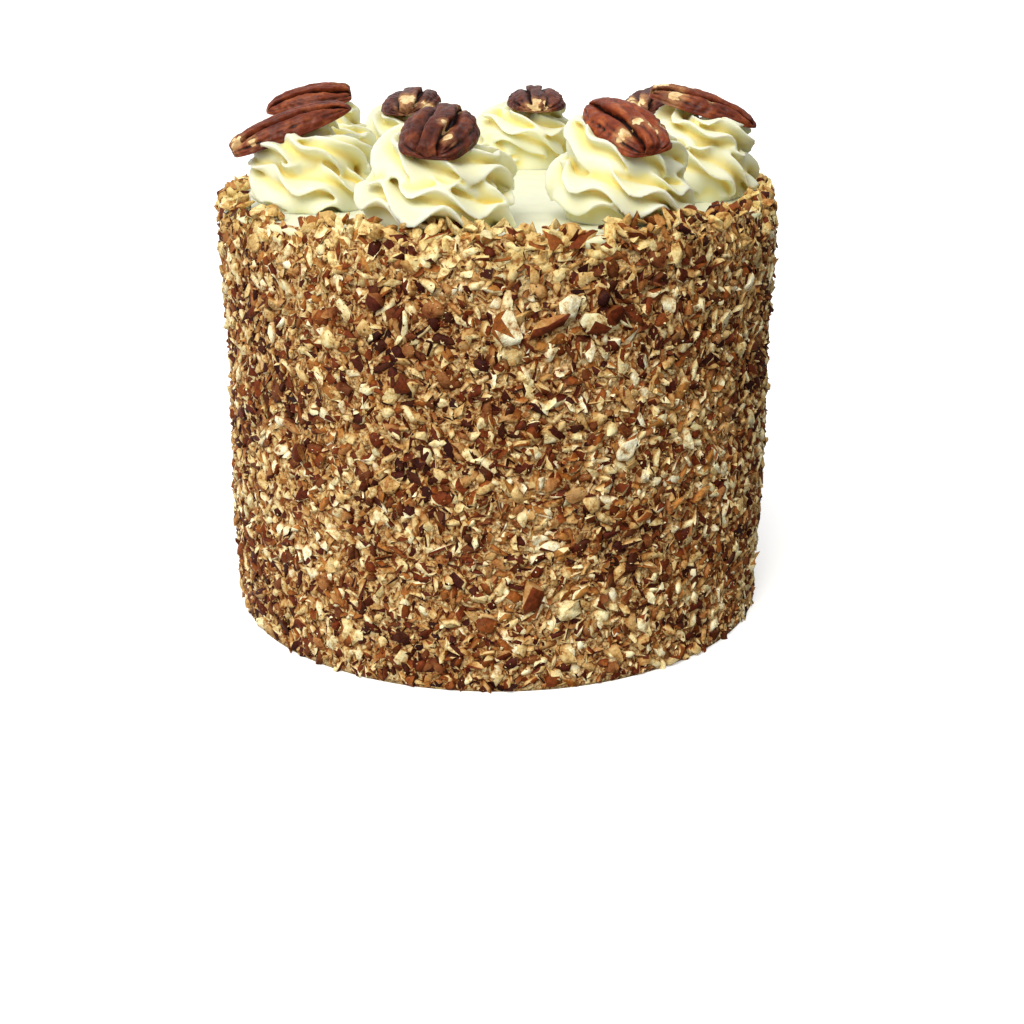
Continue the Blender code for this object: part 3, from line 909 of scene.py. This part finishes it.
def scatter_tree(name):
    """Strews chips over a surface: each turned, leaned, sunk and toned by itself."""
    tree = bpy.data.node_groups.new(name, "GeometryNodeTree")
    tree.interface.new_socket("Geometry", in_out="INPUT", socket_type="NodeSocketGeometry")
    kinds = (
        ("Fragments", "NodeSocketCollection"),
        ("Spacing", "NodeSocketFloat"),
        ("Density", "NodeSocketFloat"),
        ("Smallest", "NodeSocketFloat"),
        ("Largest", "NodeSocketFloat"),
        ("Lean", "NodeSocketFloat"),
        ("Lift", "NodeSocketFloat"),
        ("Seed", "NodeSocketInt"),
        ("Finish", "NodeSocketMaterial"),
    )
    for label, kind in kinds:
        tree.interface.new_socket(label, in_out="INPUT", socket_type=kind)
    tree.interface.new_socket("Geometry", in_out="OUTPUT", socket_type="NodeSocketGeometry")

    def node(kind, inputs=(), **settings):
        return add_node(tree, kind, inputs, **settings)

    given = node("NodeGroupInput").outputs

    def drawn(low, high, salt):
        """A random number for each chip."""
        seed = node("ShaderNodeMath", {0: given["Seed"], 1: float(salt)}, operation="ADD").outputs[0]
        made = node("FunctionNodeRandomValue", data_type="FLOAT")
        for name, value in (("Min", low), ("Max", high), ("Seed", seed)):
            put(tree, in_use(made.inputs, name), value)
        return in_use(made.outputs)

    strewn = node(
        "GeometryNodeDistributePointsOnFaces",
        {
            "Mesh": given["Geometry"],
            "Distance Min": given["Spacing"],
            "Density Max": given["Density"],
            "Seed": given["Seed"],
        },
        distribute_method="POISSON",
    )
    chips = node(
        "GeometryNodeCollectionInfo",
        {"Collection": given["Fragments"], "Separate Children": True, "Reset Children": True},
    )
    lean_back = node("ShaderNodeMath", {0: given["Lean"], 1: -1.0}, operation="MULTIPLY").outputs[0]
    turn = node(
        "ShaderNodeCombineXYZ",
        {
            "X": drawn(lean_back, given["Lean"], 1),
            "Y": drawn(lean_back, given["Lean"], 2),
            "Z": drawn(0.0, math.tau, 3),
        },
    )
    spin = node("FunctionNodeEulerToRotation", {"Euler": turn.outputs[0]}).outputs[0]
    facing = node(
        "FunctionNodeRotateRotation",
        {"Rotation": strewn.outputs["Rotation"], "Rotate By": spin},
        rotation_space="LOCAL",
    ).outputs[0]
    small_share = node("ShaderNodeMath", {0: drawn(0.0, 1.0, 4), 1: 1.6}, operation="POWER").outputs[0]
    size = node(
        "ShaderNodeMapRange",
        {"Value": small_share, "To Min": given["Smallest"], "To Max": given["Largest"]},
    ).outputs[0]
    pick = node("ShaderNodeMath", {0: drawn(0.0, 20.0, 5)}, operation="FLOOR").outputs[0]
    placed = node(
        "GeometryNodeInstanceOnPoints",
        {
            "Points": strewn.outputs["Points"],
            "Instance": chips.outputs[0],
            "Pick Instance": True,
            "Instance Index": pick,
            "Rotation": facing,
            "Scale": size,
        },
    ).outputs[0]
    rise = node("ShaderNodeMath", {0: size, 1: given["Lift"]}, operation="MULTIPLY").outputs[0]
    up = node("ShaderNodeCombineXYZ", {"Z": rise}).outputs[0]
    lifted = node(
        "GeometryNodeTranslateInstances",
        {"Instances": placed, "Translation": up, "Local Space": True},
    ).outputs[0]
    for salt, label in ((6, "tone"), (7, "tone_b")):
        lifted = node(
            "GeometryNodeStoreNamedAttribute",
            {"Geometry": lifted, "Name": label, "Value": drawn(0.0, 1.0, salt)},
            data_type="FLOAT",
            domain="INSTANCE",
        ).outputs[0]
    real = node("GeometryNodeRealizeInstances", {"Geometry": lifted}).outputs[0]
    painted = node("GeometryNodeSetMaterial", {"Geometry": real, "Material": given["Finish"]})
    node("NodeGroupOutput", {0: painted.outputs[0]})
    return tree


def strewn_nuts(name, tree, guide, finish, rng, seed, numbers):
    """One size of chopped nut over the guide surface, as a plain mesh."""
    spacing, smallest, largest, lean, lift, corners, cuts = numbers
    group = fragments(name, rng, corners, cuts)
    obj = object_of(name, guide)
    modifier = obj.modifiers.new("strew", "NODES")
    modifier.node_group = tree
    inputs = {
        "Fragments": group,
        "Spacing": spacing,
        "Density": 1.6 / spacing**2,
        "Smallest": smallest,
        "Largest": largest,
        "Lean": lean,
        "Lift": lift,
        "Seed": seed,
        "Finish": finish,
    }
    for socket in tree.interface.items_tree:
        if socket.in_out == "INPUT" and socket.name in inputs:
            modifier[socket.identifier] = inputs[socket.name]
    mesh = applied(obj)
    for chip in list(group.objects):
        bpy.data.objects.remove(chip)
    bpy.data.collections.remove(group)
    kept_in(mesh)
    return obj


def sunk(points):
    """How deep each point lies between the outermost nuts, from 0 to 1, which sets the chips' painted
    shade.
    """
    angle, radius = polar(points)
    surface = np.array(side_radius(points[:, 2])) + bulges(angle, points[:, 2])
    depth = np.minimum(surface - radius, CAKE_HEIGHT + 0.0010 - points[:, 2])
    return np.clip((depth + 0.0002) / 0.0014, 0.0, 1.0)


def outward_faces(*pieces):
    """The faces of these chips that look out from the cake, as one guide surface."""
    bm = bmesh.new()
    for piece in pieces:
        bm.from_mesh(piece.data)
    hidden = []
    for face in bm.faces:
        centre = face.calc_center_median()
        outward = Vector((centre.x, centre.y, 0.0)).normalized()
        proud = math.hypot(centre.x, centre.y) > CAKE_RADIUS - 0.0006
        if face.normal.dot(outward) < 0.35 or not proud:
            hidden.append(face)
    bmesh.ops.delete(bm, geom=hidden, context="FACES")
    mesh = mesh_from(bm, "outward_faces")
    for name in ("tone", "tone_b", "skin", "sunk"):
        mesh.attributes.remove(mesh.attributes[name])
    return mesh


def make_notable_chips():
    """The few pieces that catch the eye, each at its own place on the side."""
    points, faces, skins, tones, skin_tones = [], [], [], [], []
    for i, chip in enumerate(NOTABLE_CHIPS):
        angle, height, size, spin, tone, skin_tone, skin_side = chip
        rng = np.random.default_rng(500 + i)
        unit = tuple(v / size[0] for v in size)
        made = chopped_fragment("notable", rng, unit, 26, 3, skin_side)
        place = round_place(float(side_radius(height)) + 0.0002, angle, height)
        outward = Vector((place.x, place.y, 0.0)).normalized()
        level = Vector((-outward.y, outward.x, 0.0))
        facing = Matrix((level, (0.0, 0.0, 1.0), outward)).transposed().to_4x4()
        turn = Matrix.Rotation(math.radians(spin), 4, "Z")
        matrix = Matrix.Translation(place) @ facing @ turn @ Matrix.Scale(size[0], 4)
        start = len(points)
        points += [matrix @ vertex.co for vertex in made.data.vertices]
        faces += [[start + v for v in polygon.vertices] for polygon in made.data.polygons]
        skins += [value.value for value in made.data.attributes["skin"].data]
        tones += [tone] * len(made.data.vertices)
        skin_tones += [skin_tone] * len(made.data.vertices)
        bpy.data.objects.remove(made)
    mesh = mesh_of("notable_chips", points, faces)
    paint(mesh, "skin", skins, "FACE")
    paint(mesh, "tone", tones)
    paint(mesh, "tone_b", skin_tones)
    kept_in(mesh)
    chips = object_of("notable_chips", mesh)
    smooth_shaded(chips, CRISP_DEG)
    return chips


def kept_in(mesh):
    """No chip reaches past the solid's outline or under the base, and each notes how deep it lies, for
    its painted shade.
    """
    points = points_of(mesh)
    lowest, highest = CAD_BOX
    limit = min(-lowest.x, highest.x, -lowest.y, highest.y) - 0.0004
    over = np.maximum(polar(points)[1] / limit, 1.0)
    points[:, :2] /= over[:, None]
    points[:, 2] = np.maximum(points[:, 2], 0.0001)
    set_points(mesh, points)
    paint(mesh, "sunk", sunk(points_of(mesh)))


def side_guide():
    """The surface that the chips are strewn on: the side, and over its shoulder to the frosting."""
    rim = CAKE_HEIGHT + 0.0002
    heights = np.linspace(CAKE_HEIGHT - 0.0006, 0.0012, 30)
    profile = [(FROSTED + 0.0004, rim), (side_radius(rim) - 0.0022, rim)]
    profile += [(float(side_radius(h)) - BARE_COAT, float(h)) for h in heights]
    return guide_mesh(profile)


def drift(angle):
    """How high the chips lie heaped on the rim at this angle, from 0 to 1."""
    around = np.stack([np.cos(angle), np.sin(angle), np.zeros_like(angle)], 1)
    return np.clip(fractal(around * 0.05, 150.0, 2) * 1.6 + 0.45, 0.0, 1.0)


def rim_guide():
    """The lip round the frosting: chips heaped in uneven drifts, here and there over the frosting."""
    mesh = guide_mesh(
        [(0.0776, 0.1264), (0.0790, 0.1272), (0.0799, 0.1274), (0.0805, 0.1268), (0.0809, 0.1256)]
    )
    points = points_of(mesh)
    angle, radius = polar(points)
    heap = drift(angle)
    inner = np.clip((0.0810 - radius) / 0.0034, 0.0, 1.0)
    points[:, :2] *= (1.0 - 0.0030 * heap * inner / radius)[:, None]
    points[:, 2] += 0.0020 * heap * np.sin(math.pi * np.clip(inner, 0.12, 0.9))
    set_points(mesh, points)
    return mesh


def guide_mesh(profile):
    guide = turned("guide", profile, 240)
    mesh = guide.data
    points = points_of(mesh)
    angle, radius = polar(points)
    push = bulges(angle, points[:, 2]) * (points[:, 2] < CAKE_HEIGHT - 0.001)
    points[:, :2] *= (1.0 + push / radius)[:, None]
    set_points(mesh, points)
    bpy.data.objects.remove(guide)
    bm = bmesh.new()
    bm.from_mesh(mesh)
    gap = drift(angle) < 0.16
    rim = points[:, 2] > CAKE_HEIGHT - 0.0008
    bare = [face for face in bm.faces if all((gap & rim)[vertex.index] for vertex in face.verts)]
    bmesh.ops.delete(bm, geom=bare, context="FACES")
    bm.to_mesh(mesh)
    bm.free()
    return mesh


# Guide, spacing, size from and to, lean, lift as a share of size, and each morsel's corners and cuts
NUT_SIZES = {
    "small_chips": (side_guide, 0.00180, 0.0020, 0.0035, 0.75, 0.16, 8, 1),
    "middling_chips": (side_guide, 0.00214, 0.0032, 0.0060, 0.50, 0.19, 11, 1),
    "large_chips": (side_guide, 0.00500, 0.0044, 0.0074, 0.45, 0.18, 28, 3),
    "rim_chips": (rim_guide, 0.00205, 0.0034, 0.0068, 0.95, 0.22, 30, 3),
}

# The same without a guide: crumbs cling to the larger chips
CRUMB_SIZES = (0.00150, 0.0004, 0.0011, 1.5, 0.20, 7, 0)

# Angle from the front, height, size, turn of its length from level in degrees, tone of its flesh
# and of its skin, and the side that keeps the skin
NOTABLE_CHIPS = (
    (2.2, 0.1034, (0.0096, 0.0074, 0.0050), -58, 0.90, 0.80, (-0.9, -0.6, 0.5)),
    (13.5, 0.1092, (0.0068, 0.0060, 0.0042), 40, 0.94, 0.70, None),
    (18.0, 0.1040, (0.0088, 0.0062, 0.0044), -14, 0.92, 0.60, (0.3, -1.0, 0.2)),
    (9.6, 0.1046, (0.0135, 0.0042, 0.0034), 33, 0.20, 0.35, (0.0, 0.0, 1.0)),
    (19.5, 0.1106, (0.0044, 0.0034, 0.0026), 75, 0.10, 0.00, (0.0, 0.0, 1.0)),
    (21.5, 0.1056, (0.0068, 0.0050, 0.0036), 65, 0.30, 0.55, (0.0, 0.2, 1.0)),
    (6.8, 0.0285, (0.0100, 0.0058, 0.0042), 82, 0.20, 0.45, (0.0, 0.0, 1.0)),
    (24.6, 0.0690, (0.0082, 0.0046, 0.0034), 48, 0.97, 0.50, None),
    (-21.6, 0.1098, (0.0056, 0.0050, 0.0040), 10, 0.20, 0.30, (0.0, 0.0, 1.0)),
    (-17.0, 0.0880, (0.0060, 0.0052, 0.0036), 120, 0.20, 0.60, (0.0, 0.0, 1.0)),
    (29.0, 0.0480, (0.0060, 0.0050, 0.0034), 30, 0.30, 0.75, (0.0, 0.1, 1.0)),
    (-41.0, 0.0640, (0.0056, 0.0040, 0.0032), 70, 0.20, 0.40, (0.0, 0.0, 1.0)),
    (13.5, 0.0240, (0.0072, 0.0056, 0.0034), 15, 0.60, 0.50, None),
)


def make_nuts():
    finish = chopped_finish()
    tree = scatter_tree("strew_chips")
    rng = np.random.default_rng(41)
    made = {}
    for seed, (name, sizes) in enumerate(NUT_SIZES.items()):
        guide, *numbers = sizes
        made[name] = strewn_nuts(name, tree, guide(), finish, rng, 11 + seed, numbers)
    cling = outward_faces(made["middling_chips"], made["large_chips"], made["rim_chips"])
    made["clinging_crumbs"] = strewn_nuts("clinging_crumbs", tree, cling, finish, rng, 23, CRUMB_SIZES)
    made["notable_chips"] = make_notable_chips()
    for nuts in made.values():
        finished(nuts, finish, "nut_coat", "nut_coated_cake")


# ---------------------------------------------------------------- floor, light and camera


def make_floor():
    """A round white floor, and a white wall round it that casts no shade."""
    bm = bmesh.new()
    bmesh.ops.create_circle(bm, cap_ends=True, segments=96, radius=ROOM_RADIUS)
    floor = object_of("floor", mesh_from(bm, "floor"))
    bm = bmesh.new()
    radii = {"radius1": ROOM_RADIUS, "radius2": ROOM_RADIUS}
    bmesh.ops.create_cone(bm, segments=96, depth=2.0 * WALL_HEIGHT, **radii)
    bmesh.ops.reverse_faces(bm, faces=bm.faces)
    wall = object_of("wall", mesh_from(bm, "wall"))
    wall.visible_shadow = False
    smooth_shaded(wall)
    finish = floor_finish()
    for piece in (floor, wall):
        piece.data.materials.append(finish)
        piece.visible_diffuse = False
        piece.visible_glossy = False


def make_light():
    """A broad warm light from the left of the camera, and a white room, dim low on its right."""
    world = bpy.data.worlds.new("studio")
    bpy.context.scene.world = world
    world.use_nodes = True
    tree = world.node_tree
    background = tree.nodes["Background"]
    background.inputs["Color"].default_value = (*ROOM_COLOUR, 1.0)
    direction = add_node(tree, "ShaderNodeTexCoord").outputs["Generated"]
    parts = add_node(tree, "ShaderNodeSeparateXYZ", {0: direction}).outputs
    dim = {}
    for i, (axis, bright, dark) in enumerate(DIMMING):
        ends = {"Value": parts[axis], "From Min": bright, "From Max": dark}
        dim[i] = add_node(tree, "ShaderNodeMapRange", ends).outputs[0]
    both = add_node(tree, "ShaderNodeMath", dim, operation="MULTIPLY").outputs[0]
    most, least = ROOM_LIGHT
    strength = add_node(tree, "ShaderNodeMapRange", {"Value": both, "To Min": most, "To Max": least})
    put(tree, background.inputs["Strength"], strength.outputs[0])
    light = bpy.data.lights.new("key", "SUN")
    light.angle = math.radians(KEY_BREADTH_DEG)
    light.energy = KEY_STRENGTH
    light.color = KEY_COLOUR
    lamp = object_of("key", light)
    azimuth, elevation = (math.radians(angle) for angle in KEY_FROM_DEG)
    toward = Vector((math.sin(azimuth), -math.cos(azimuth), math.tan(elevation)))
    lamp.rotation_euler = toward.to_track_quat("Z", "Y").to_euler()


def make_camera():
    """A little above the cake and tipped down, so that the top shows as a narrow oval."""
    camera = bpy.data.cameras.new("camera")
    camera.sensor_width, camera.lens = SENSOR_AND_LENS_MM
    holder = object_of("camera", camera)
    holder.location = CAMERA_AT
    holder.rotation_euler = (math.radians(90.0 - CAMERA_DIP_DEG), math.radians(CAMERA_ROLL_DEG), 0.0)
    bpy.context.scene.camera = holder


# ---------------------------------------------------------------- everything together


def main():
    bpy.context.scene.view_settings.view_transform = "Standard"
    make_camera()
    make_light()
    make_floor()
    coat = make_coat()
    finished(coat, coat_finish(), "nut_coat", "nut_coated_cake")
    make_nuts()
    frosting, skin = frosting_finish(), pecan_finish()
    finished(make_frosting_top(), frosting, "frosting", "top_frosting")
    for number in range(len(SWIRLS)):
        finished(make_swirl(number), frosting, "frosting", f"swirl_{number + 1}")
        finished(make_pecan(number), skin, "pecan", f"pecan_half_{number + 1}")


main()
